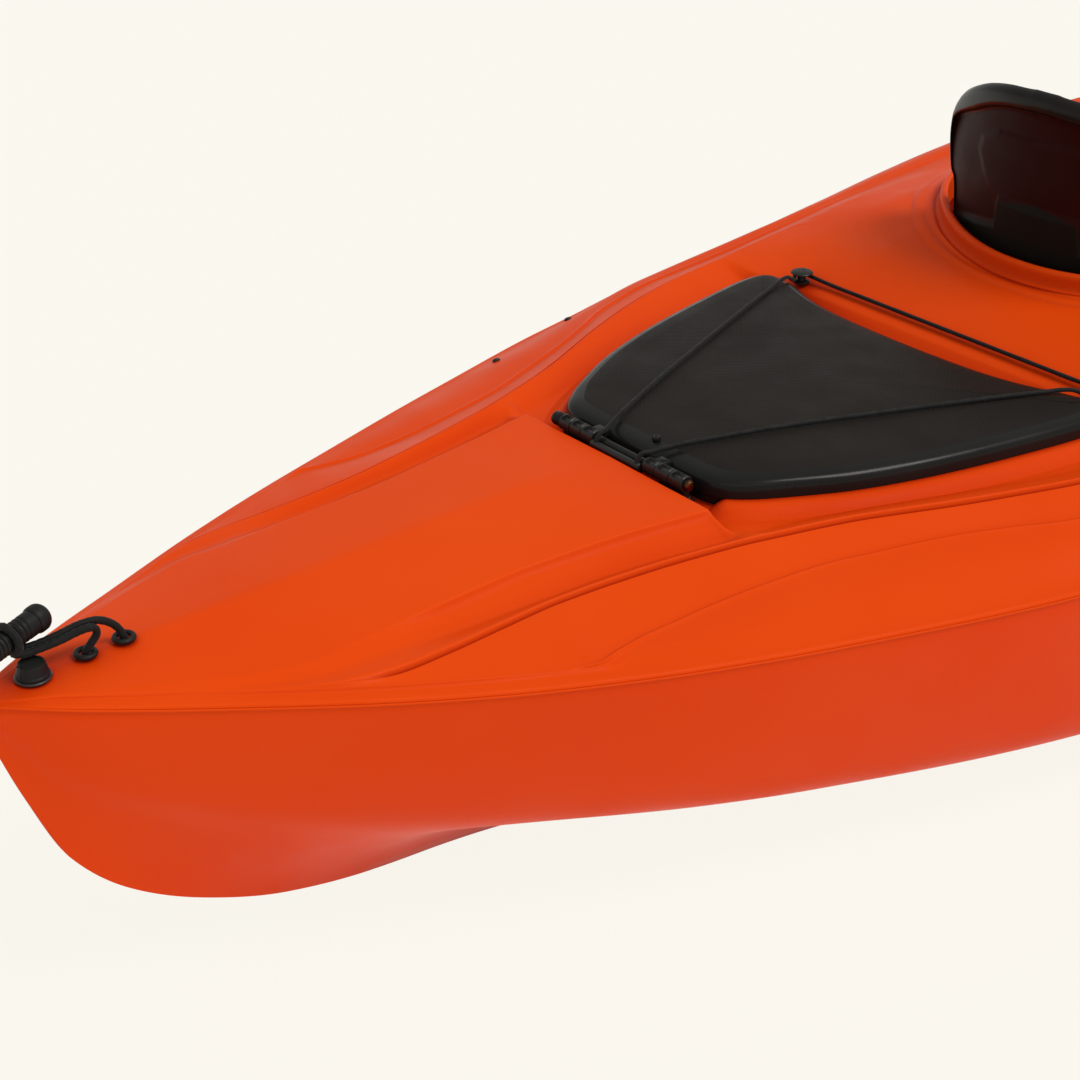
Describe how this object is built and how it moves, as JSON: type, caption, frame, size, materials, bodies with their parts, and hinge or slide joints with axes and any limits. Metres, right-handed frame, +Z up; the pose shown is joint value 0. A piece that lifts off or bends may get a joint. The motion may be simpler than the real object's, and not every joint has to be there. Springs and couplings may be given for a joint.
{
  "type": "sit-in kayak",
  "caption": "Recreational sit-in kayak with a hinged rear hatch, a folding backrest, sliding foot pedals, rope carry handles and a screw drain plug.",
  "frame": {"origin": "centre of the footprint, at the flat bottom of the hull", "axes": "+X towards the bow, +Y to port, +Z up, metres"},
  "size_m": [3.0632, 0.75, 0.52],
  "materials": {
    "hull_orange": "satin red orange polyethylene",
    "deck_orange": "satin orange polyethylene",
    "black_plastic": "satin moulded, finely grained",
    "black_rubber": "matt",
    "black_cord": "braided",
    "seat_fabric": "woven",
    "grey_foam": "closed cell foam",
    "brass_end": "dull",
    "steel": "plain"
  },
  "bodies": {
    "hull": {"hull_shell": "hull_orange", "deck_shell": "deck_orange", "seam_joint_strip_port": "deck_orange", "seam_joint_strip_starboard": "deck_orange", "gunwale_rivet_aft": "black_plastic", "gunwale_rivet_fore": "black_plastic", "hatch_gasket": "black_rubber", "hinge_bracket_port": "black_plastic", "hinge_bracket_starboard": "black_plastic", "hinge_rod": "black_plastic", "hinge_rod_cap_port": "black_plastic", "hinge_rod_cap_starboard": "brass_end", "hinge_sleeve": "black_plastic", "bungee_hook_port": "black_plastic", "bungee_hook_starboard": "black_plastic", "stern_grommet_outer": "black_plastic", "stern_grommet_inner": "black_plastic", "bow_grommet_outer": "black_plastic", "bow_grommet_inner": "black_plastic", "drain_plug_seat": "black_plastic", "seat_riser_port": "black_plastic", "seat_riser_starboard": "black_plastic", "seat_pan": "black_plastic", "seat_pad": "seat_fabric", "backrest_hinge_pin": "steel", "backrest_bracket_port": "black_plastic", "backrest_bracket_starboard": "black_plastic", "foot_rail_port": "black_plastic", "foot_rail_starboard": "black_plastic", "foot_rail_screw_port_aft": "steel", "foot_rail_screw_port_fore": "steel", "foot_rail_screw_starboard_aft": "steel", "foot_rail_screw_starboard_fore": "steel", "stern_foam_pillar": "grey_foam", "bow_foam_pillar": "grey_foam"},
    "hatch": {"hatch_cover": "black_plastic", "cover_hinge_arm_port": "black_plastic", "cover_hinge_arm_starboard": "black_plastic", "bungee_loop": "black_cord"},
    "backrest": {"backrest_shell": "black_plastic", "backrest_pad": "seat_fabric", "backrest_lug_port": "black_plastic", "backrest_lug_starboard": "black_plastic"},
    "stern_handle": {"stern_handle_barrel": "black_rubber", "stern_handle_cap_inner": "black_rubber", "stern_handle_cap_outer": "black_rubber", "stern_handle_cord": "black_cord", "plug_tether": "black_rubber"},
    "bow_handle": {"bow_handle_barrel": "black_rubber", "bow_handle_cap_inner": "black_rubber", "bow_handle_cap_outer": "black_rubber", "bow_handle_cord": "black_cord"},
    "drain_plug_screw": {"drain_plug": "black_rubber"},
    "pedal_port": {"foot_pedal_port": "black_plastic"},
    "pedal_starboard": {"foot_pedal_starboard": "black_plastic"}
  },
  "joints": [
    {"name": "hatch_hinge", "type": "hinge", "parent": "hull", "child": "hatch", "pos_m": [-0.946, 0, 0.311], "axis": [0, -1, 0], "range_deg": [0, 105], "deforming": ["bungee_loop"]},
    {"name": "backrest_fold", "type": "hinge", "parent": "hull", "child": "backrest", "pos_m": [-0.375, 0, 0.11], "axis": [0, 1, 0], "range_deg": [0, 68]},
    {"name": "stern_handle_lift", "type": "hinge", "parent": "hull", "child": "stern_handle", "pos_m": [-1.425, 0, 0.309], "axis": [0, 1, 0], "range_deg": [0, 80], "deforming": ["stern_handle_cord", "plug_tether"]},
    {"name": "bow_handle_lift", "type": "hinge", "parent": "hull", "child": "bow_handle", "pos_m": [1.425, 0, 0.344], "axis": [0, -1, 0], "range_deg": [0, 80], "deforming": ["bow_handle_cord"]},
    {"name": "drain_plug_turn", "type": "hinge", "parent": "hull", "child": "drain_plug_screw", "pos_m": [-1.483, 0, 0.305], "axis": [0, 0, 1], "range_deg": [0, 360]},
    {"name": "pedal_port_slide", "type": "slide", "parent": "hull", "child": "pedal_port", "axis": [0.9684, -0.2494, 0], "range_m": [-0.11, 0.11]},
    {"name": "pedal_starboard_slide", "type": "slide", "parent": "hull", "child": "pedal_starboard", "axis": [0.9684, 0.2494, 0], "range_m": [-0.11, 0.11]}
  ]
}
